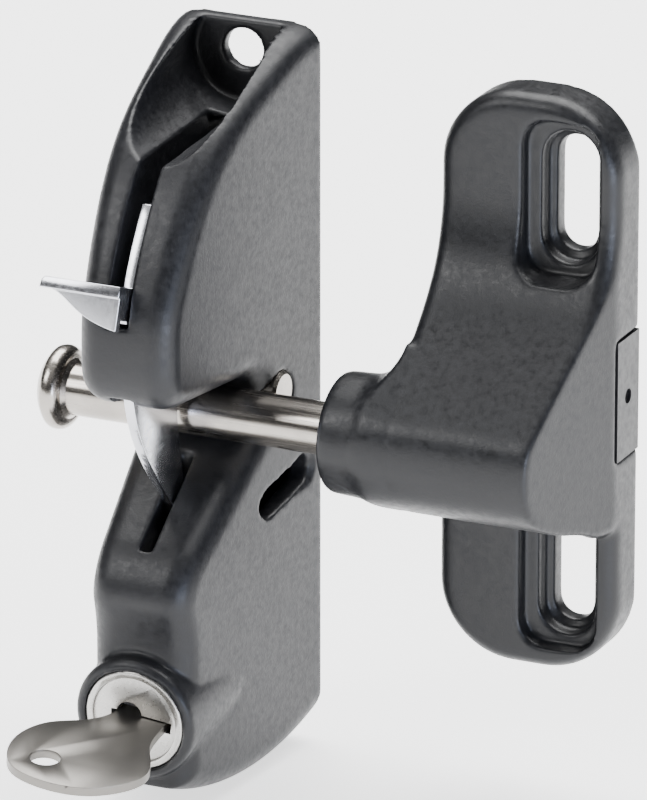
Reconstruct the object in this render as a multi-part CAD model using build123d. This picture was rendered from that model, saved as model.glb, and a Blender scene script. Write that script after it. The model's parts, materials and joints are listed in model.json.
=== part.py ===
"""Gravity gate latch: a keyed latch body for the post and a striker with a round bar for the gate.

Millimetres, +Z up. The origin is on the latch's rear mounting plane, on its centre line, level with
the striker bar. The latch faces -Y, and the striker stands on its +X side.
"""

from build123d import *
from math import cos, radians, sin
import os

# ---- latch housing
REAR_HALF_WIDTH = 19.0
TAPER = 0.1
TOP_Z = 87.6
BOTTOM_Z = -87.0
NOSE_Y = -70.0
EDGE_ROUNDING = 6.5
ROOF_ANGLE = 3.2
ROOF_LENGTH = 26.5
CHIN_Y = -61.5
SCREW_Z = 80.2
SCREW_HOLE_R = 5.0
SCREW_WALL = 3.5
POCKET_R_REAR = 12.8
POCKET_R_FRONT = 10.2
SLOT_LEFT_X = -4.2
SLOT_RIGHT_X = 1.55
RAMP_SLOT_LEFT_X = -1.75

# ---- bar and notch
BAR_R = 6.35
BAR_Y = -33.0
BAR_LEFT_X = -30.8
BAR_END_X = 73.0
BAR_THREAD_R = 5.0
HEAD_R = 10.2
HEAD_THICKNESS = 7.2
NOTCH_R = 8.4
RAMP_ANGLE = 35.0
RAMP_LENGTH = 33.0

# ---- lever
PIVOT_Y = -7.5
PIVOT_Z = 18.0
PIN_R = 2.0
PIN_HALF_LENGTH = 9.0
RUNNING_GAP = 0.05
PLATE = 2.5
HUB_R = 4.6
BLADE_R = 62.0
BLADE_TOP_ANGLE = 138.5
NOSE_CHAMBER_R = 59.4
SLOT_LOW_ANGLE = 168.0
SLOT_HIGH_ANGLE = 96.5
TAB_REACH_X = -18.9
TAB_R = 69.5
TAB_ROOT_R = 66.2
TAB_ANGLE = 159.2
TAB_THICKNESS = 2.7
TAB_GUSSET = 10.4
GUSSET_RECESS = 0.9
STOP_PIN_Y = -18.5
STOP_PIN_Z = 1.5
STOP_PIN_R = 5.3

# ---- lock
LOCK_Y = -64.5
LOCK_Z = -68.3
LOCK_TILT = 5.0
CHIN_R = 15.4
CHIN_DEPTH = 32.0
CASE_R = 12.8
CASE_LENGTH = 30.0
PLUG_R = 10.8
PLUG_RECESS = 0.6
KEY_TURN = -6.0
KEY_SHIFT = 1.6
KEYWAY_WIDTH = 15.6
KEYWAY_HEIGHT = 2.7
KEYWAY_DEPTH = 24.0
KEY_THICKNESS = 2.3
KEY_BLADE_WIDTH = 13.2
KEY_BLADE_LENGTH = 23.0
WAFER_THICKNESS = 0.9
WAFER_PLACES = [6.0, 9.0, 12.0, 15.0, 18.0]
WAFER_WIDTH = 19.2
WAFER_HEIGHT = 7.6
CAM_THICKNESS = 3.0
CAM_LOW_R = 4.5
SLIDE_LIFT = 5.5
CAM_ROOM_R = 11.0
SLIDE_HALF_WIDTH = 1.25
SLIDE_LEG_REAR_Y = -32.4
SLIDE_LEG_FRONT_Y = -34.4

# ---- rear cover
COVER_THICKNESS = 2.0
COVER_HALF_WIDTH = 14.5
COVER_TOP_Z = 61.0
COVER_BOTTOM_Z = -80.0
COVER_SCREW_SPOTS = [(-11.0, 54.0), (11.0, 54.0), (-11.0, -47.0), (11.0, -47.0)]

# ---- striker bracket
PLATE_LEFT_X = 55.0
PLATE_RIGHT_X = 101.0
PLATE_BOTTOM_Z = -60.0
PLATE_TOP_Z = 82.0
PLATE_DEPTH = 13.5
PLATE_CORNER_R = 19.0
BRACKET_FRONT = 48.8
BOSS_LEFT_X = 38.8
BRACKET_BOSS_R = 14.5
BOSS_TAPER = 2.5
FLARE_R = 9.0
RIGHT_TAPER = 8.0
SLOT_X = 87.0
SLOT_MID_Z = 11.0
SLOT_SPACING = 92.5
SLOT_LENGTH = 28.4
SLOT_HALF_WIDTH = 5.0
SLOT_WALL = 5.0
LEDGE_DEPTH = 9.5
BAR_SHOULDER_X = 59.5
BRACKET_ROUNDING = 4.0
INSERT_THICKNESS = 2.0
INSERT_DEPTH = 12.7
INSERT_LOW_Z = -5.5
INSERT_HIGH_Z = 24.5


def save(shape, name):
    """Write one named piece, which may hold several separate solids."""
    shape.label = name
    export_step(shape, f"parts/{name}.step")


def side_profile(outline, low_x, high_x):
    """Extrude an outline drawn in the Y-Z plane from low_x to high_x."""
    face = Plane.YZ * make_face(outline)
    return extrude(Pos(low_x, 0, 0) * face, high_x - low_x, dir=(1, 0, 0))


def rod(radius, start, end):
    """A round bar between two points."""
    start = Vector(*start)
    end = Vector(*end)
    line = Plane(origin=start, z_dir=end - start)
    return extrude(line * Circle(radius), (end - start).length)


def box(low, high):
    """A block between two corners."""
    size = [b - a for a, b in zip(low, high)]
    middle = [(a + b) / 2 for a, b in zip(low, high)]
    return Pos(*middle) * Box(*size)


def polar(radius, angle):
    """A point in the Y-Z plane at a distance and angle from the lever's pivot."""
    turn = radians(angle)
    return (PIVOT_Y + radius * cos(turn), PIVOT_Z + radius * sin(turn))


def lock_frame(along=0.0):
    """The plane across the lock's axis, its normal pointing out of the latch; along is forward."""
    tilt = radians(LOCK_TILT)
    outward = Vector(0, -cos(tilt), -sin(tilt))
    origin = Vector(0, LOCK_Y, LOCK_Z) + outward * along
    return Plane(origin=origin, x_dir=(1, 0, 0), z_dir=outward)


# ------------------------------------------------------------------ housing


def housing_outline():
    """The housing seen from the side: domed nose above, open notch for the bar, lock chin below."""
    rise = radians(ROOF_ANGLE)
    fall = radians(RAMP_ANGLE)
    roof_rear = (BAR_Y - NOTCH_R * sin(rise), NOTCH_R * cos(rise))
    roof_front = (roof_rear[0] - ROOF_LENGTH * cos(rise), roof_rear[1] + ROOF_LENGTH * sin(rise))
    ramp_top = (BAR_Y + NOTCH_R * sin(fall), -NOTCH_R * cos(fall))
    ramp_end = (ramp_top[0] - RAMP_LENGTH * cos(fall), ramp_top[1] - RAMP_LENGTH * sin(fall))
    dome = Spline(
        (0, TOP_Z), (-20, 83.0), (-42, 73.2), (-58.5, 56.2), (-67, 40), (NOSE_Y, 22),
        tangents=[(-1, 0.02), (0, -1)],
    )
    nose = Spline(
        (NOSE_Y, 22), (-67.6, 13.2), roof_front, tangents=[(0, -1), (cos(rise), -sin(rise))]
    )
    roof = Line(roof_front, roof_rear)
    notch = ThreePointArc(roof_rear, (BAR_Y + NOTCH_R, 0), ramp_top)
    ramp = Line(ramp_top, ramp_end)
    brow = Spline(
        ramp_end, (-63.6, -39.5), (CHIN_Y, -52.0), tangents=[(-cos(fall), -sin(fall)), (0, -1)]
    )
    chin = Line((CHIN_Y, -52.0), (CHIN_Y, -85.6))
    base = ThreePointArc((CHIN_Y, -85.6), (-31, -92.2), (0, BOTTOM_Z))
    back = Line((0, BOTTOM_Z), (0, TOP_Z))
    return [dome, nose, roof, notch, ramp, brow, chin, base, back]


def wedge():
    """The plan shape: widest on the post, narrowing towards the front."""
    depth = -NOSE_Y + 10
    front = REAR_HALF_WIDTH - TAPER * depth
    plan = Polyline(
        (-REAR_HALF_WIDTH, 0), (REAR_HALF_WIDTH, 0), (front, -depth), (-front, -depth), close=True
    )
    return extrude(Pos(0, 0, BOTTOM_Z - 10) * make_face(plan), TOP_Z - BOTTOM_Z + 20)


def side_edges(body):
    """The ridges between the side faces and the rest of the outline."""
    found = []
    for edge in body.edges():
        middle = edge.position_at(0.5)
        start = edge.position_at(0)
        end = edge.position_at(1)
        on_rear = max(abs(start.Y), abs(end.Y), abs(middle.Y)) < 0.01
        across = abs(start.X - end.X) > REAR_HALF_WIDTH
        if not on_rear and not across:
            found.append(edge)
    return found


def housing_shell():
    """The outside of the housing, with its rounded ridges and the round chin about the lock."""
    body = side_profile(housing_outline(), -REAR_HALF_WIDTH - 5, REAR_HALF_WIDTH + 5) & wedge()
    body = body.solids()[0]
    body = fillet(side_edges(body), EDGE_ROUNDING)
    chin = extrude(lock_frame(0.5) * Circle(CHIN_R), -CHIN_DEPTH)
    chin = fillet(chin.edges().group_by(Axis.Y)[0], 2.0)
    return body + chin


def screw_pocket():
    """The round pocket that widens towards the post screw, and the screw hole."""
    rear = Plane.XZ.offset(SCREW_WALL) * Pos(0, SCREW_Z) * Circle(POCKET_R_REAR)
    front = Plane.XZ.offset(-NOSE_Y) * Pos(0, SCREW_Z - 5.5) * Circle(POCKET_R_FRONT)
    hole = rod(SCREW_HOLE_R, (0, 1, SCREW_Z), (0, -SCREW_WALL - 1, SCREW_Z))
    return loft([rear, front]) + hole


def lever_chamber():
    """The narrow space that the lever swings in, open at the front slot, the notch and the back."""
    nose_low = polar(NOSE_CHAMBER_R, 187)
    nose_mid = polar(NOSE_CHAMBER_R, 178)
    nose_high = polar(NOSE_CHAMBER_R, SLOT_LOW_ANGLE)
    outside = polar(90, SLOT_LOW_ANGLE)
    above = polar(90, SLOT_HIGH_ANGLE)
    floor_end = polar(48.0, SLOT_HIGH_ANGLE)
    outline = [
        Polyline((1, 11.5), (-38, 11.5), (-38, 0), (nose_low[0], 0), nose_low),
        ThreePointArc(nose_low, nose_mid, nose_high),
        Polyline(nose_high, outside, (outside[0], above[1]), above, floor_end, (1, 62), (1, 11.5)),
    ]
    return side_profile(outline, SLOT_LEFT_X, SLOT_RIGHT_X)


def lower_chamber():
    """The slot in the ramp for the tongue's tip, and the way that the lock slide travels in."""
    tongue_slot = side_profile(
        [Polyline((-34, -5), (-34, -28), (-43, -33), (-57.5, -33), (-57.5, -20), (-34, -5))],
        RAMP_SLOT_LEFT_X, SLOT_RIGHT_X,
    )
    slide_way = side_profile(
        [Polyline((1, -76), (1, -34), (-45, -34), (-45, -20), (-51.6, -20), (-51.6, -50.5),
                  (-35, -50.5), (-35, -76), (1, -76))],
        RAMP_SLOT_LEFT_X, SLOT_RIGHT_X,
    )
    cam_room = box((-CAM_ROOM_R, -32.2, -78.5), (CAM_ROOM_R, 1, -52.0))
    cam_bore = extrude(lock_frame(1 - CASE_LENGTH) * Circle(CAM_ROOM_R), -7)
    return tongue_slot + slide_way + cam_room + cam_bore


def side_slot(side):
    """An obround opening through one side wall, with a raised rim left standing round it."""
    tilt = 12.0
    centre = (side * 15, -16.5, -23.0)
    plane = Plane(origin=centre, x_dir=(0, cos(radians(tilt)), sin(radians(tilt))), z_dir=(side, 0, 0))
    opening = extrude(plane * SlotOverall(24.0, 7.4), 8, both=True)
    rim_face = Plane(origin=(side * 17.6, -16.5, -23.0), x_dir=plane.x_dir, z_dir=plane.z_dir)
    lead_in = extrude(rim_face * SlotOverall(26.0, 9.4), 4, taper=-25)
    return opening + lead_in


def core_outs():
    """The hollows of the moulding, open at the back: two above the notch and two below it."""
    spaces = []
    for side in (-1, 1):
        inner = side * 5.5
        outer = side * 12.5
        low_x, high_x = sorted((inner, outer))
        spaces.append(box((low_x, -38, 24), (high_x, 1, 48)))
        spaces.append(box((low_x, -30, -42), (high_x, 1, -12)))
    return spaces


def cover_recess():
    """The shallow seat for the rear cover, and the screws' pilot holes behind it."""
    seat = box((-COVER_HALF_WIDTH, -COVER_THICKNESS, COVER_BOTTOM_Z), (COVER_HALF_WIDTH, 1, COVER_TOP_Z))
    for x, z in COVER_SCREW_SPOTS:
        seat += rod(1.5, (x, 1, z), (x, -11.2, z))
    return seat


def latch_housing():
    body = housing_shell()
    body -= screw_pocket()
    body -= lever_chamber()
    body -= lower_chamber()
    body -= cover_recess()
    for space in core_outs():
        body -= space
    for side in (-1, 1):
        body -= side_slot(side)
    body -= rod(STOP_PIN_R, (-30, STOP_PIN_Y, STOP_PIN_Z), (30, STOP_PIN_Y, STOP_PIN_Z))
    pin_room = PIN_R + RUNNING_GAP
    body -= rod(pin_room, (-PIN_HALF_LENGTH, PIVOT_Y, PIVOT_Z), (PIN_HALF_LENGTH, PIVOT_Y, PIVOT_Z))
    body -= box(
        (-PIN_HALF_LENGTH, PIVOT_Y, PIVOT_Z - pin_room), (PIN_HALF_LENGTH, 1, PIVOT_Z + pin_room)
    )
    body -= extrude(lock_frame(2) * Circle(CASE_R), -CASE_LENGTH - 2)
    return body.solids().sort_by(SortBy.VOLUME)[-1]


def rear_cover():
    """The plate over the open back, with the ribs that keep the lever's pin in its seat."""
    fit = 0.15
    plate = box(
        (-COVER_HALF_WIDTH + fit, -COVER_THICKNESS, COVER_BOTTOM_Z + fit),
        (COVER_HALF_WIDTH - fit, 0, COVER_TOP_Z - fit),
    )
    plate = fillet(plate.edges().filter_by(Axis.Y), 1.5)
    for side in (-1, 1):
        low_x, high_x = sorted((side * 4.5, side * 7.6))
        plate += box(
            (low_x, PIVOT_Y + PIN_R + RUNNING_GAP, PIVOT_Z - PIN_R + fit),
            (high_x, -COVER_THICKNESS, PIVOT_Z + PIN_R - fit),
        )
    for x, z in COVER_SCREW_SPOTS:
        plate -= rod(1.7, (x, 1, z), (x, -5, z))
        plate -= cone_seat(x, z, fit)
    return plate


def cone_seat(x, z, clear):
    """The countersink of a cover screw, its wide end at the back of the plate."""
    plane = Plane(origin=(x, 0, z), x_dir=(1, 0, 0), z_dir=(0, -1, 0))
    return loft([plane * Circle(3.0 + clear), plane.offset(1.5) * Circle(1.5 + clear)])


def cover_screws():
    """Four countersunk screws, each with a cross recess in its head."""
    screws = []
    for x, z in COVER_SCREW_SPOTS:
        screw = cone_seat(x, z, 0) + rod(1.5, (x, -1.4, z), (x, -11.0, z))
        for turn in (0, 90):
            screw -= Pos(x, 0, z) * Rot(0, turn, 0) * Box(3.2, 1.6, 0.7)
        screws.append(screw)
    return Compound(children=screws)


def lever_blade():
    """The flat of the lever: hub, blade in the front slot, and the tongue that hooks the bar."""
    top_front = polar(BLADE_R, BLADE_TOP_ANGLE + 2)
    front_mid = polar(BLADE_R, 152)
    front_low = polar(BLADE_R + 0.6, 163)
    outline = [
        Polyline((PIVOT_Y, PIVOT_Z + HUB_R), polar(BLADE_R - 4.5, BLADE_TOP_ANGLE), top_front),
        ThreePointArc(top_front, front_mid, front_low),
        Polyline(front_low, (-69.3, 35), (-69.1, 32.4), (-65.0, 30.4), (-65.2, 26)),
        Spline((-65.2, 26), (-65.9, 12), (-60.4, -1.2), (-51.8, -12.6), (-45.2, -20.2)),
        Polyline((-45.2, -20.2), (-43.2, -24.4), (-40.6, -25.4), (-39.2, -23.6)),
        Spline((-39.2, -23.6), (-39.4, -15), (-41.8, -4), (-41.4, 8), (-38.5, 12.4)),
        Polyline((-38.5, 12.4), (-34, 13.2), (PIVOT_Y - 3.0, PIVOT_Z - 3.4)),
        ThreePointArc(
            (PIVOT_Y - 3.0, PIVOT_Z - 3.4), (PIVOT_Y + HUB_R, PIVOT_Z), (PIVOT_Y, PIVOT_Z + HUB_R)
        ),
    ]
    return side_profile(outline, -PLATE / 2, PLATE / 2)


def thumb_tab():
    """The thumb tab: a wing bent to the left off the blade, with a curved gusset under it."""
    lift = radians(180 - TAB_ANGLE)
    centre = polar(TAB_R, TAB_ANGLE)
    plane = Plane(
        origin=(0, centre[0], centre[1]), x_dir=(1, 0, 0), z_dir=(0, -cos(lift), sin(lift))
    )
    right = PLATE / 2
    tip = TAB_REACH_X
    band = Polyline(
        (right, 0), (tip + 0.8, 0), (tip, -0.8), (tip - 0.4, -TAB_THICKNESS), (right, -TAB_THICKNESS),
        (right, 0),
    )
    gusset = [
        Line((right, -0.5), (tip + 1.6, -TAB_THICKNESS + 0.3)),
        Spline((tip + 1.6, -TAB_THICKNESS + 0.3), (-13.6, -4.0), (-9.6, -6.7), (-4.0, -9.2),
               (right, -TAB_GUSSET)),
        Line((right, -TAB_GUSSET), (right, -0.5)),
    ]
    depth = TAB_ROOT_R - TAB_R
    wing = extrude(plane * make_face([band]), depth)
    wing += extrude(plane.offset(-GUSSET_RECESS) * make_face(gusset), depth + GUSSET_RECESS)
    neck_height = TAB_GUSSET - TAB_THICKNESS
    root = plane.offset(TAB_ROOT_R - TAB_R + 0.5)
    neck = root * Pos(0, -neck_height / 2) * Rectangle(PLATE, neck_height)
    return wing + extrude(neck, -7.5)


def latch_lever():
    lever = lever_blade() + thumb_tab()
    lever -= rod(PIN_R + RUNNING_GAP, (-5, PIVOT_Y, PIVOT_Z), (5, PIVOT_Y, PIVOT_Z))
    return lever.solids().sort_by(SortBy.VOLUME)[-1]


def lever_pin():
    half = PIN_HALF_LENGTH - 0.2
    return rod(PIN_R, (-half, PIVOT_Y, PIVOT_Z), (half, PIVOT_Y, PIVOT_Z))


def lever_spacer():
    """The collar that fills the slot's left side and keeps the lever against its right wall."""
    start = (-PLATE / 2 - 0.15, PIVOT_Y, PIVOT_Z)
    end = (SLOT_LEFT_X + 0.15, PIVOT_Y, PIVOT_Z)
    return rod(HUB_R - 0.6, start, end) - rod(PIN_R + RUNNING_GAP, start, end)


def stop_pin():
    """The polished cross pin just behind the notch, its ends standing a little proud."""
    reach = REAR_HALF_WIDTH + TAPER * STOP_PIN_Y + 0.5
    pin = rod(STOP_PIN_R, (-reach, STOP_PIN_Y, STOP_PIN_Z), (reach, STOP_PIN_Y, STOP_PIN_Z))
    return chamfer(pin.edges().filter_by(GeomType.CIRCLE), 0.8)


def barrel_case():
    """The lock's fixed sleeve, with a thin raised rim at its face."""
    sleeve = extrude(lock_frame() * Circle(CASE_R), -CASE_LENGTH)
    sleeve = chamfer(sleeve.edges().filter_by(GeomType.CIRCLE).group_by(Axis.Y)[0], 0.5)
    sleeve -= extrude(lock_frame(1) * Circle(PLUG_R + RUNNING_GAP), -CASE_LENGTH - 2)
    return sleeve


def plug_frame(along=0.0):
    """The lock's plane turned so that its X runs along the keyway."""
    return Plane(lock_frame(along).location * Rot(0, 0, KEY_TURN))


def wafer_slots(clear):
    """One thin block per wafer, each across the plug."""
    blocks = []
    for place in WAFER_PLACES:
        size = Rectangle(WAFER_WIDTH + clear, WAFER_HEIGHT + clear)
        blocks.append(extrude(plug_frame(-place + clear / 2) * size, -WAFER_THICKNESS - clear))
    return blocks


def lock_plug():
    """The turning plug: a keyway with an arched mouth, wafer slots, and a screw hole behind."""
    plug = extrude(plug_frame(-PLUG_RECESS) * Circle(PLUG_R), -CASE_LENGTH + PLUG_RECESS)
    keyway = Pos(KEY_SHIFT, 0) * Rectangle(KEYWAY_WIDTH, KEYWAY_HEIGHT)
    plug -= extrude(plug_frame(1) * keyway, -KEYWAY_DEPTH - 1)
    plug -= extrude(plug_frame(1) * Pos(-1.5, 0.9) * Circle(3.2), -5.6)
    for block in wafer_slots(0.3):
        plug -= block
    plug -= extrude(lock_frame(-CASE_LENGTH - 1) * Circle(1.5), 5)
    return plug.solids().sort_by(SortBy.VOLUME)[-1]


def keyway_shutter():
    """The small flap that closes the arched mouth above the key."""
    flap = Circle(2.9) & Pos(0, 1.9) * Rectangle(6, 2.2)
    return extrude(plug_frame(-3.4) * Pos(-1.5, 0.9) * flap, -0.8)


def lock_wafers():
    """The wafers, each a thin plate with a window for the key."""
    window = Pos(KEY_SHIFT, 0) * Rectangle(KEY_BLADE_WIDTH + 0.6, KEY_THICKNESS + 0.5)
    wafers = []
    for block, place in zip(wafer_slots(0), WAFER_PLACES):
        wafers.append(block - extrude(plug_frame(-place + 1) * window, -3))
    return Compound(children=wafers)


def cam_edge(angle):
    """A point on the cam's rising edge: its radius falls evenly from angle 0 to 90 degrees."""
    radius = CAM_LOW_R + SLIDE_LIFT * (90 - angle) / 90
    return (radius * cos(radians(angle)), radius * sin(radians(angle)))


def plug_cam():
    """The snail cam on the plug's inner end: a quarter turn lifts the slide by its full travel."""
    high = CAM_LOW_R + SLIDE_LIFT
    rise = [cam_edge(angle) for angle in range(0, 91, 9)]
    outline = [
        Spline(rise),
        ThreePointArc((0, CAM_LOW_R), (-CAM_LOW_R, 0), (0, -CAM_LOW_R)),
        Line((0, -CAM_LOW_R), (high - 2, -CAM_LOW_R)),
        Line((high - 2, -CAM_LOW_R), (high, 0)),
    ]
    cam = extrude(lock_frame(-CASE_LENGTH - 0.2) * make_face(outline), -CAM_THICKNESS)
    cam -= extrude(lock_frame(-CASE_LENGTH + 1) * Circle(1.5), -CAM_THICKNESS - 2)
    return cam


def cam_screw():
    """The screw that holds the cam on the plug."""
    back = lock_frame(-CASE_LENGTH - CAM_THICKNESS - 0.2)
    screw = extrude(back * Circle(2.9), -1.2)
    screw += extrude(back * Circle(1.5), CAM_THICKNESS + 3.0)
    return screw - extrude(back.offset(-1.2) * Rectangle(4.4, 0.7), 0.6)


def lock_slide():
    """The slide that rests on the cam; raised, its head stands in front of the tongue's tip."""
    foot_z = lock_frame(-CASE_LENGTH - CAM_THICKNESS / 2).origin.Z + CAM_LOW_R + 0.35
    outline = Polyline(
        (SLIDE_LEG_REAR_Y, foot_z), (SLIDE_LEG_REAR_Y, -42.5), (-45.2, -42.5), (-45.2, -27.9),
        (-46.4, -27.2), (-51.0, -31.2), (-51.0, -49.0), (SLIDE_LEG_FRONT_Y, -49.0), (SLIDE_LEG_FRONT_Y, foot_z),
        (SLIDE_LEG_REAR_Y, foot_z),
    )
    slide = side_profile([outline], -SLIDE_HALF_WIDTH, SLIDE_HALF_WIDTH)
    for side in (-1, 1):
        corner = Polyline(
            (side * 0.2, foot_z), (side * 5, foot_z + 5.2), (side * 5, foot_z - 1),
            (side * 0.2, foot_z - 1), (side * 0.2, foot_z),
        )
        slide -= extrude(Plane.XZ.offset(30) * make_face([corner]), 6)
    return slide.solids().sort_by(SortBy.VOLUME)[-1]


def key():
    """The flat key in the keyway: blade, flared neck and wide rounded bow with a ring hole."""
    low = KEY_SHIFT - KEY_BLADE_WIDTH / 2
    high = KEY_SHIFT + KEY_BLADE_WIDTH / 2
    tip = -KEY_BLADE_LENGTH
    outline = [
        Polyline((high, 0.5), (high, tip + 3), (high - 3, tip), (low + 3, tip), (low, tip + 3), (low, 0.5)),
        Spline(
            (low, 0.5), (-6.0, 3.2), (-9.4, 7.4), (-15.8, 12.4), (-19.3, 19.5), (-18.4, 30.0),
            (-14.6, 35.6), (-7.2, 38.4), (5.0, 36.8), (12.2, 30.4), (14.7, 24.0), (13.0, 17.6),
            (9.4, 10.4), (high + 0.2, 4.6), (high, 0.5),
        ),
    ]
    face = plug_frame()
    flat = Plane(origin=face.origin, x_dir=face.x_dir, z_dir=-face.y_dir)
    blank = extrude(flat * make_face(outline), KEY_THICKNESS / 2, both=True)
    blank -= extrude(flat * Pos(-9.2, 28.5) * Circle(3.7), 5, both=True)
    return blank


# ------------------------------------------------------------------ striker


def bar_profile():
    """Half of the bar's outline: a crowned head, a small neck fillet and a plain round shank."""
    neck = 1.0
    head_x = BAR_LEFT_X - HEAD_THICKNESS
    return [
        Spline(
            (head_x, 0), (head_x + 0.7, 6.4), (head_x + 2.6, 9.3), (head_x + 4.6, HEAD_R),
            tangents=[(0, 1), (1, 0)],
        ),
        ThreePointArc((head_x + 4.6, HEAD_R), (BAR_LEFT_X - 0.6, HEAD_R - 0.9), (BAR_LEFT_X, HEAD_R - 2.4)),
        Line((BAR_LEFT_X, HEAD_R - 2.4), (BAR_LEFT_X, BAR_R + neck)),
        Line((BAR_LEFT_X, BAR_R + neck), (BAR_LEFT_X + neck, BAR_R)),
        Line((BAR_LEFT_X + neck, BAR_R), (BAR_SHOULDER_X, BAR_R)),
        Line((BAR_SHOULDER_X, BAR_R), (BAR_SHOULDER_X, BAR_THREAD_R)),
        Line((BAR_SHOULDER_X, BAR_THREAD_R), (BAR_END_X, BAR_THREAD_R)),
        Line((BAR_END_X, BAR_THREAD_R), (BAR_END_X, 0)),
        Line((BAR_END_X, 0), (head_x, 0)),
    ]


def striker_bar():
    bar = revolve(make_face(bar_profile()), Axis.X)
    return Pos(0, BAR_Y, 0) * bar


def bracket_outline():
    """The bracket from the side: a flat plate with a web that sweeps out to the bar and cuts back."""
    return [
        Line((0, PLATE_BOTTOM_Z), (0, PLATE_TOP_Z)),
        Line((0, PLATE_TOP_Z), (-PLATE_DEPTH, PLATE_TOP_Z)),
        Line((-PLATE_DEPTH, PLATE_TOP_Z), (-PLATE_DEPTH, 58)),
        Spline(
            (-PLATE_DEPTH, 58), (-18.5, 38.5), (-32.5, 22.9), (-44.4, 10.7), (-48.4, -1.0),
            tangents=[(0, -1), (0, -1)],
        ),
        Spline(
            (-48.4, -1.0), (-43.8, -11.6), (-31.5, -17.8), (-19.5, -22.4), tangents=[(0, -1), (0.86, -0.5)]
        ),
        Line((-19.5, -22.4), (-PLATE_DEPTH, -24.0)),
        Line((-PLATE_DEPTH, -24.0), (-PLATE_DEPTH, PLATE_BOTTOM_Z)),
        Line((-PLATE_DEPTH, PLATE_BOTTOM_Z), (0, PLATE_BOTTOM_Z)),
    ]


def plate_front_view():
    """The rounded upright shape that the bracket has from the front."""
    width = PLATE_RIGHT_X - PLATE_LEFT_X
    height = PLATE_TOP_Z - PLATE_BOTTOM_Z
    middle = ((PLATE_LEFT_X + PLATE_RIGHT_X) / 2, (PLATE_TOP_Z + PLATE_BOTTOM_Z) / 2)
    face = Plane.XZ * Pos(*middle) * RectangleRounded(width, height, PLATE_CORNER_R)
    return extrude(face, 80)


def bracket_taper():
    """The bracket's plan shape: its right side leans in towards the front."""
    plan = Polyline(
        (PLATE_LEFT_X - 5, 5), (PLATE_RIGHT_X + 5, 5), (PLATE_RIGHT_X + 5, -PLATE_DEPTH),
        (PLATE_RIGHT_X, -PLATE_DEPTH), (PLATE_RIGHT_X - RIGHT_TAPER, -BRACKET_FRONT),
        (PLATE_LEFT_X - 5, -BRACKET_FRONT), close=True,
    )
    return extrude(Pos(0, 0, PLATE_BOTTOM_Z - 5) * make_face(plan), PLATE_TOP_Z - PLATE_BOTTOM_Z + 10)


def boss_flare():
    """The concave blend from the boss into the web's left face."""
    start = PLATE_LEFT_X - FLARE_R
    inner = BRACKET_BOSS_R + 0.3
    turn = FLARE_R * (1 - cos(radians(45)))
    profile = [
        ThreePointArc(
            (start, inner), (start + FLARE_R - turn, inner + turn), (PLATE_LEFT_X, inner + FLARE_R)
        ),
        Line((PLATE_LEFT_X, inner + FLARE_R), (PLATE_LEFT_X + 2, inner + FLARE_R)),
        Line((PLATE_LEFT_X + 2, inner + FLARE_R), (PLATE_LEFT_X + 2, 0)),
        Line((PLATE_LEFT_X + 2, 0), (start, 0)),
        Line((start, 0), (start, inner)),
    ]
    flare = Pos(0, BAR_Y, 0) * revolve(make_face(profile), Axis.X)
    return flare & side_profile(bracket_outline(), start - 5, PLATE_LEFT_X + 5)


def bracket_shell():
    """The outside of the bracket: the swept web, the round boss and softened front edges."""
    body = side_profile(bracket_outline(), PLATE_LEFT_X, PLATE_RIGHT_X) & plate_front_view()
    body = body.solids()[0]
    front = [
        edge for edge in body.edges()
        if edge.position_at(0.5).Y < -PLATE_DEPTH + 0.5 and edge.length > 3
        and abs(edge.position_at(0).X - edge.position_at(1).X) < 40
    ]
    body = fillet(front, BRACKET_ROUNDING) & bracket_taper()
    plane = Plane(origin=(BOSS_LEFT_X, BAR_Y, 0), z_dir=(1, 0, 0))
    boss = extrude(plane * Circle(BRACKET_BOSS_R), PLATE_LEFT_X + 1 - BOSS_LEFT_X, taper=-BOSS_TAPER)
    boss = fillet(boss.edges().group_by(Axis.X)[0], 1.6)
    return body + boss + boss_flare()


def bolt_recess(centre_z):
    """One bolt's stepped recess: a wide pocket, an obround ledge and the slot through the wall."""
    long = SLOT_LENGTH + 10
    pocket = extrude(
        Plane.XZ.offset(LEDGE_DEPTH) * Pos(SLOT_X - 0.9, centre_z) * RectangleRounded(19.4, long, 6.5),
        60,
    )
    upright = Pos(SLOT_X, centre_z) * Rot(0, 0, 90)
    ledge = extrude(Plane.XZ.offset(SLOT_WALL) * upright * SlotOverall(SLOT_LENGTH + 4.4, 14.4), 60)
    slot = extrude(Plane.XZ.offset(-1) * upright * SlotOverall(SLOT_LENGTH, SLOT_HALF_WIDTH * 2), 60)
    return pocket + ledge + slot


def striker_bracket():
    body = bracket_shell()
    for side in (-1, 1):
        body -= bolt_recess(SLOT_MID_Z + side * SLOT_SPACING / 2)
    body -= rod(BAR_R, (BOSS_LEFT_X - 5, BAR_Y, 0), (BAR_SHOULDER_X, BAR_Y, 0))
    body -= rod(BAR_THREAD_R, (BAR_SHOULDER_X - 1, BAR_Y, 0), (BAR_END_X, BAR_Y, 0))
    body -= insert_block(0)
    return body.solids().sort_by(SortBy.VOLUME)[-1]


def insert_block(clear):
    """The shape of the side insert, shrunk all round by a clearance."""
    low = (PLATE_RIGHT_X - INSERT_THICKNESS, -INSERT_DEPTH + clear, INSERT_LOW_Z + clear)
    high = (PLATE_RIGHT_X, -clear, INSERT_HIGH_Z - clear)
    return box(low, high)


def bracket_side_insert():
    """The thin panel let into the bracket's right side, with a half-round finger notch."""
    panel = insert_block(0.15)
    middle = (INSERT_LOW_Z + INSERT_HIGH_Z) / 2
    return panel - rod(1.8, (PLATE_RIGHT_X - 0.8, -6.4, middle), (PLATE_RIGHT_X + 1, -6.4, middle))


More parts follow.
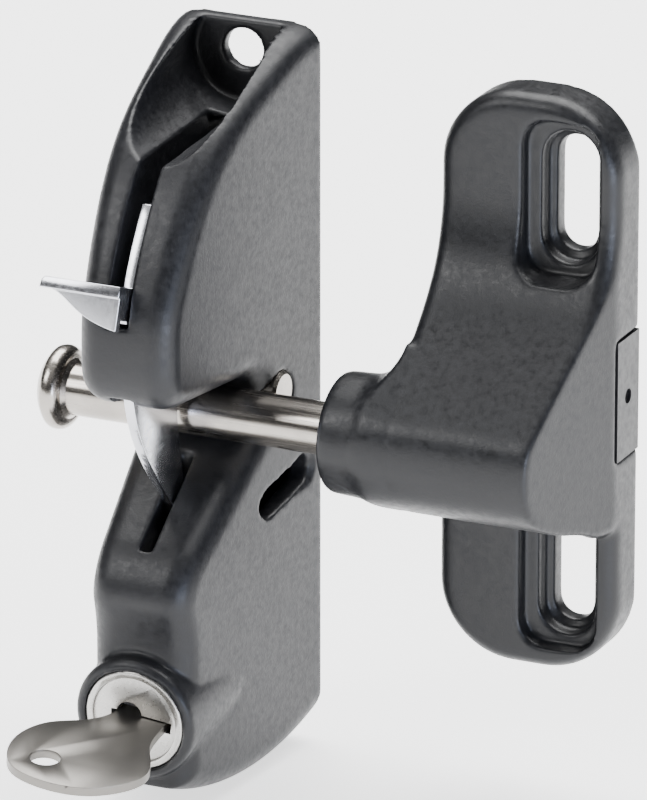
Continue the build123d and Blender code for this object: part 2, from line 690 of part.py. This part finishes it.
PIECES = {
    "latch_housing": latch_housing,
    "rear_cover": rear_cover,
    "cover_screws": cover_screws,
    "latch_lever": latch_lever,
    "lever_pin": lever_pin,
    "lever_spacer": lever_spacer,
    "stop_pin": stop_pin,
    "barrel_case": barrel_case,
    "lock_plug": lock_plug,
    "keyway_shutter": keyway_shutter,
    "lock_wafers": lock_wafers,
    "plug_cam": plug_cam,
    "cam_screw": cam_screw,
    "lock_slide": lock_slide,
    "key": key,
    "striker_bracket": striker_bracket,
    "striker_bar": striker_bar,
    "bracket_side_insert": bracket_side_insert,
}


def main():
    os.makedirs("parts", exist_ok=True)
    for name, make in PIECES.items():
        save(make(), name)


main()
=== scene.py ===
"""Gravity gate latch: materials, finished skins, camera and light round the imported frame."""

import json
import math

import bmesh
import bpy
from mathutils import Matrix, Vector

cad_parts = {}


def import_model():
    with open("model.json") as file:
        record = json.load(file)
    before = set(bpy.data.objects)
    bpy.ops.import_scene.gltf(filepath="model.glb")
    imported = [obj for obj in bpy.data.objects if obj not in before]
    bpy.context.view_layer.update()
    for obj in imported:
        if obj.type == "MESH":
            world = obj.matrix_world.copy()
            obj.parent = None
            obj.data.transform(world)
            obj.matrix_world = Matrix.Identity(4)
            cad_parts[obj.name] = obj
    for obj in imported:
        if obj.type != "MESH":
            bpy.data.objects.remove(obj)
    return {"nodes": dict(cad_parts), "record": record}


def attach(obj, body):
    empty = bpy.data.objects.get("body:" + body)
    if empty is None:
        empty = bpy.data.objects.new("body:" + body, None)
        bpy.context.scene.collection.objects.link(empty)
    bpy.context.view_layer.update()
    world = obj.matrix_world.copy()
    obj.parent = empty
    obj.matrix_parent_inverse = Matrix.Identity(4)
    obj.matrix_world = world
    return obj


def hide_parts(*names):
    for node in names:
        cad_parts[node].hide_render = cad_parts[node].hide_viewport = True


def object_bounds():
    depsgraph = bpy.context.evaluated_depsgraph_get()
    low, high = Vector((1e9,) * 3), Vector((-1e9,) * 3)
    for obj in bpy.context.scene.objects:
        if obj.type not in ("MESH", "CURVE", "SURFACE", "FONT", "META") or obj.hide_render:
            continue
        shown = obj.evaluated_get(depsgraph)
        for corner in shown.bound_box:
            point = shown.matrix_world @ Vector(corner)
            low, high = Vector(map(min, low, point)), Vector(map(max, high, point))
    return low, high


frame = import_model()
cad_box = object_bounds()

MM = 0.001
WELD = 0.01 * MM
FLAT_ANGLE = math.radians(0.6)
SHARP_ANGLE = math.radians(40)
FLOOR_REACH = 6.0
CAMERA_AZIMUTH = math.radians(25.0)
CAMERA_ELEVATION = math.radians(20.0)
CAMERA_DISTANCE = 2.2
CAMERA_TARGET = Vector((38.0, -40.0, 9.9)) * MM
SENSOR = 36.0
VIEW_HEIGHT = 800 / 4.28 * MM


# ------------------------------------------------------------------ materials


def new_material(name):
    mat = bpy.data.materials.new(name)
    mat.use_nodes = True
    nodes = mat.node_tree.nodes
    return mat, nodes, mat.node_tree.links, nodes["Principled BSDF"]


def noise(nodes, links, coords, scale, detail=3.0, rough=0.5):
    tex = nodes.new("ShaderNodeTexNoise")
    tex.inputs["Scale"].default_value = scale
    tex.inputs["Detail"].default_value = detail
    tex.inputs["Roughness"].default_value = rough
    links.new(coords, tex.inputs["Vector"])
    return tex.outputs["Fac"]


def ramp(nodes, links, fac, stops):
    node = nodes.new("ShaderNodeValToRGB")
    elements = node.color_ramp.elements
    while len(elements) < len(stops):
        elements.new(0.5)
    for element, (place, color) in zip(elements, stops):
        element.position = place
        element.color = (*color, 1)
    links.new(fac, node.inputs["Fac"])
    return node.outputs["Color"]


def grey(value):
    return (value, value, value)


def stretched(nodes, links, scale):
    """Object coordinates scaled by a different amount along each axis."""
    coords = nodes.new("ShaderNodeTexCoord").outputs["Object"]
    mapping = nodes.new("ShaderNodeMapping")
    mapping.inputs["Scale"].default_value = scale
    links.new(coords, mapping.inputs["Vector"])
    return mapping.outputs["Vector"]


def bump(nodes, links, height, strength, distance, normal=None):
    node = nodes.new("ShaderNodeBump")
    node.inputs["Strength"].default_value = strength
    node.inputs["Distance"].default_value = distance
    links.new(height, node.inputs["Height"])
    if normal is not None:
        links.new(normal, node.inputs["Normal"])
    return node.outputs["Normal"]


def moulded(name, dark, light, roughness, grain=1.0):
    """Grained polymer: fine pitting, faint mottling and slightly uneven gloss."""
    mat, nodes, links, shader = new_material(name)
    coords = nodes.new("ShaderNodeTexCoord").outputs["Object"]
    fine = noise(nodes, links, coords, 1900, 2.0, 0.6)
    mid = noise(nodes, links, coords, 620, 3.0, 0.6)
    broad = noise(nodes, links, coords, 26, 3.0, 0.5)
    mix = nodes.new("ShaderNodeMix")
    mix.data_type = "FLOAT"
    mix.inputs["Factor"].default_value = 0.4
    links.new(mid, mix.inputs[2])
    links.new(broad, mix.inputs[3])
    color = ramp(nodes, links, mix.outputs[0], [(0.3, dark), (0.7, light)])
    links.new(color, shader.inputs["Base Color"])
    rough = ramp(nodes, links, mid, [(0.3, grey(roughness - 0.08)), (0.7, grey(roughness + 0.1))])
    links.new(rough, shader.inputs["Roughness"])
    shader.inputs["Specular IOR Level"].default_value = 0.36
    first = bump(nodes, links, mid, 0.3 * grain, 0.00014)
    links.new(bump(nodes, links, fine, 0.38 * grain, 0.00007, first), shader.inputs["Normal"])
    return mat


def metal(name, color, roughness, streak, streak_scale, wear=0.06, bump_strength=0.05):
    """Metal with fine directional streaks and uneven polish. streak_scale sets their direction."""
    mat, nodes, links, shader = new_material(name)
    along = noise(nodes, links, stretched(nodes, links, streak_scale), 1.0, 4.0, 0.6)
    coords = nodes.new("ShaderNodeTexCoord").outputs["Object"]
    cloud = noise(nodes, links, coords, 90, 4.0, 0.55)
    low = tuple(channel * (1 - wear) for channel in color)
    links.new(ramp(nodes, links, cloud, [(0.35, low), (0.65, color)]), shader.inputs["Base Color"])
    shader.inputs["Metallic"].default_value = 1.0
    rough = ramp(
        nodes, links, along, [(0.3, grey(max(roughness - streak, 0.03))), (0.7, grey(roughness + streak))]
    )
    links.new(rough, shader.inputs["Roughness"])
    links.new(bump(nodes, links, along, bump_strength, 0.00004), shader.inputs["Normal"])
    return mat


BODY = moulded("body_polymer", (0.0048, 0.005, 0.0062), (0.0115, 0.012, 0.0145), 0.4)
BRACKET = moulded("bracket_polymer", (0.0045, 0.0047, 0.0056), (0.0105, 0.011, 0.013), 0.38)
COVER = moulded("cover_polymer", (0.008, 0.008, 0.009), (0.015, 0.015, 0.016), 0.5, 0.5)
INSERT = moulded("insert_polymer", (0.006, 0.006, 0.007), (0.011, 0.011, 0.013), 0.36, 0.3)
BUSH = moulded("bush_polymer", (0.6, 0.6, 0.57), (0.7, 0.7, 0.66), 0.4, 0.4)
LEVER = metal("lever_steel", (0.64, 0.65, 0.69), 0.22, 0.05, (900, 260, 900), 0.08, 0.02)
BAR = metal("bar_steel", (0.42, 0.39, 0.355), 0.22, 0.08, (50, 2600, 2600), 0.2, 0.08)
ZINC = metal("lock_zinc", (0.52, 0.51, 0.49), 0.3, 0.05, (1800, 1800, 1800), 0.06, 0.03)
KEY = metal("key_steel", (0.21, 0.2, 0.185), 0.34, 0.04, (2600, 2600, 2600), 0.04, 0.03)
SCREW = metal("screw_steel", (0.5, 0.5, 0.51), 0.32, 0.1, (500, 500, 500), 0.12)
SHUTTER = metal("shutter_steel", (0.2, 0.2, 0.21), 0.4, 0.1, (500, 500, 500), 0.2)
BRASS = metal("wafer_brass", (0.72, 0.56, 0.26), 0.3, 0.1, (500, 500, 500), 0.1)

BY_SLOT = {
    "body_polymer": BODY, "bracket_polymer": BRACKET, "cover_polymer": COVER, "insert_polymer": INSERT,
    "bush_polymer": BUSH, "lever_steel": LEVER, "bar_steel": BAR, "lock_zinc": ZINC, "key_steel": KEY,
    "screw_steel": SCREW, "shutter_steel": SHUTTER, "wafer_brass": BRASS,
}

SLOT_OF = {}
for part in frame["record"]["subparts"]:
    SLOT_OF[part["node"]] = part["material_slot"]
    for place in frame["nodes"][part["node"]].material_slots:
        place.material = BY_SLOT[part["material_slot"]]

BODY_OF = {}
for body, names in frame["record"]["behaviour"]["bodies"].items():
    for name in names:
        BODY_OF[name] = body


# ------------------------------------------------------------------ finished skins


def merged_copy(name):
    """A copy of one CAD node's mesh, its doubled vertices joined."""
    mesh = frame["nodes"][name].data.copy()
    work = bmesh.new()
    work.from_mesh(mesh)
    bmesh.ops.remove_doubles(work, verts=work.verts, dist=WELD)
    work.to_mesh(mesh)
    work.free()
    skin = bpy.data.objects.new(name + "_skin", mesh)
    bpy.context.scene.collection.objects.link(skin)
    return skin


def baked(skin):
    """Replaces the object's mesh by the result of its modifiers."""
    graph = bpy.context.evaluated_depsgraph_get()
    result = bpy.data.meshes.new_from_object(skin.evaluated_get(graph))
    skin.modifiers.clear()
    skin.data = result


def take_over(skin, name):
    """The skin rides with its node's body, takes its finish and is shown in its place."""
    skin.data.materials.clear()
    skin.data.materials.append(BY_SLOT[SLOT_OF[name]])
    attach(skin, BODY_OF[name])
    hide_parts(name)


def soften(name, voxel, passes):
    """A moulding: every outer edge gets a small even radius."""
    skin = merged_copy(name)
    remesh = skin.modifiers.new("remesh", "REMESH")
    remesh.mode = "VOXEL"
    remesh.voxel_size = voxel
    remesh.use_smooth_shade = True
    smooth = skin.modifiers.new("smooth", "SMOOTH")
    smooth.factor = 0.5
    smooth.iterations = passes
    baked(skin)
    skin.data.polygons.foreach_set("use_smooth", [True] * len(skin.data.polygons))
    take_over(skin, name)


def break_edges(name, width, segments=2):
    """A machined or stamped piece: its sharp edges get a fine bevel."""
    skin = merged_copy(name)
    work = bmesh.new()
    work.from_mesh(skin.data)
    bmesh.ops.dissolve_limit(work, angle_limit=FLAT_ANGLE, verts=work.verts, edges=work.edges)
    work.to_mesh(skin.data)
    work.free()
    bevel = skin.modifiers.new("bevel", "BEVEL")
    bevel.width = width
    bevel.segments = segments
    bevel.limit_method = "ANGLE"
    bevel.angle_limit = SHARP_ANGLE
    bevel.use_clamp_overlap = True
    baked(skin)
    skin.data.set_sharp_from_angle(angle=SHARP_ANGLE)
    skin.data.polygons.foreach_set("use_smooth", [True] * len(skin.data.polygons))
    take_over(skin, name)


soften("latch_housing", 0.6 * MM, 5)
soften("striker_bracket", 0.55 * MM, 24)
for name, width in (("latch_lever", 0.3), ("key", 0.25), ("barrel_case", 0.25), ("lock_plug", 0.12)):
    break_edges(name, width * MM)


# ------------------------------------------------------------------ studio


def area_light(name, place, target, size, power, color=(1, 1, 1)):
    data = bpy.data.lights.new(name, "AREA")
    data.shape = "RECTANGLE"
    data.size, data.size_y = size
    data.energy = power
    data.color = color
    light = bpy.data.objects.new(name, data)
    bpy.context.scene.collection.objects.link(light)
    light.location = place
    aim = Vector(target) - Vector(place)
    light.rotation_euler = aim.to_track_quat("-Z", "Y").to_euler()


def floor():
    low = cad_box[0][2] - MM
    mesh = bpy.data.meshes.new("floor")
    reach = FLOOR_REACH
    mesh.from_pydata(
        [(-reach, -reach, low), (reach, -reach, low), (reach, reach, low), (-reach, reach, low)],
        [], [(0, 1, 2, 3)],
    )
    plane = bpy.data.objects.new("floor", mesh)
    bpy.context.scene.collection.objects.link(plane)
    mat, nodes, links, shader = new_material("floor")
    shader.inputs["Base Color"].default_value = (0.9, 0.9, 0.9, 1)
    shader.inputs["Roughness"].default_value = 0.9
    shader.inputs["Specular IOR Level"].default_value = 0.1
    shader.inputs["Emission Color"].default_value = (1, 1, 1, 1)
    shader.inputs["Emission Strength"].default_value = 1.6
    mesh.materials.append(mat)


def world():
    """Even studio light that is bright overhead and dim near the horizon."""
    scene_world = bpy.data.worlds.new("studio")
    bpy.context.scene.world = scene_world
    scene_world.use_nodes = True
    nodes = scene_world.node_tree.nodes
    links = scene_world.node_tree.links
    split = nodes.new("ShaderNodeSeparateXYZ")
    links.new(nodes.new("ShaderNodeTexCoord").outputs["Generated"], split.inputs["Vector"])
    sky = ramp(nodes, links, split.outputs["Z"], [(0.0, grey(0.03)), (0.3, grey(0.1)), (1.0, grey(0.8))])
    background = nodes["Background"]
    links.new(sky, background.inputs["Color"])
    background.inputs["Strength"].default_value = 0.8


def camera():
    turn, lift = CAMERA_AZIMUTH, CAMERA_ELEVATION
    across = Vector((math.cos(turn), math.sin(turn), 0))
    ahead = Vector((-math.sin(turn) * math.cos(lift), math.cos(turn) * math.cos(lift), -math.sin(lift)))
    upward = across.cross(ahead)
    data = bpy.data.cameras.new("camera")
    data.sensor_fit = "VERTICAL"
    data.sensor_height = SENSOR
    data.lens = CAMERA_DISTANCE / VIEW_HEIGHT * SENSOR
    data.clip_end = 50
    view = bpy.data.objects.new("camera", data)
    bpy.context.scene.collection.objects.link(view)
    basis = Matrix((across, upward, -ahead)).transposed().to_4x4()
    view.matrix_world = Matrix.Translation(CAMERA_TARGET - ahead * CAMERA_DISTANCE) @ basis
    bpy.context.scene.camera = view


floor()
world()
camera()
area_light("key", (-1.0, -1.3, 1.2), (0.02, -0.04, 0.0), (0.9, 0.9), 21)
area_light("top", (0.0, 0.9, 2.3), (0.0, 0.7, -0.1), (3.0, 2.2), 190)
area_light("side", (0.6, -0.42, 0.0), (0.03, -0.02, -0.08), (0.4, 0.14), 2.4, (0.66, 0.76, 1.0))
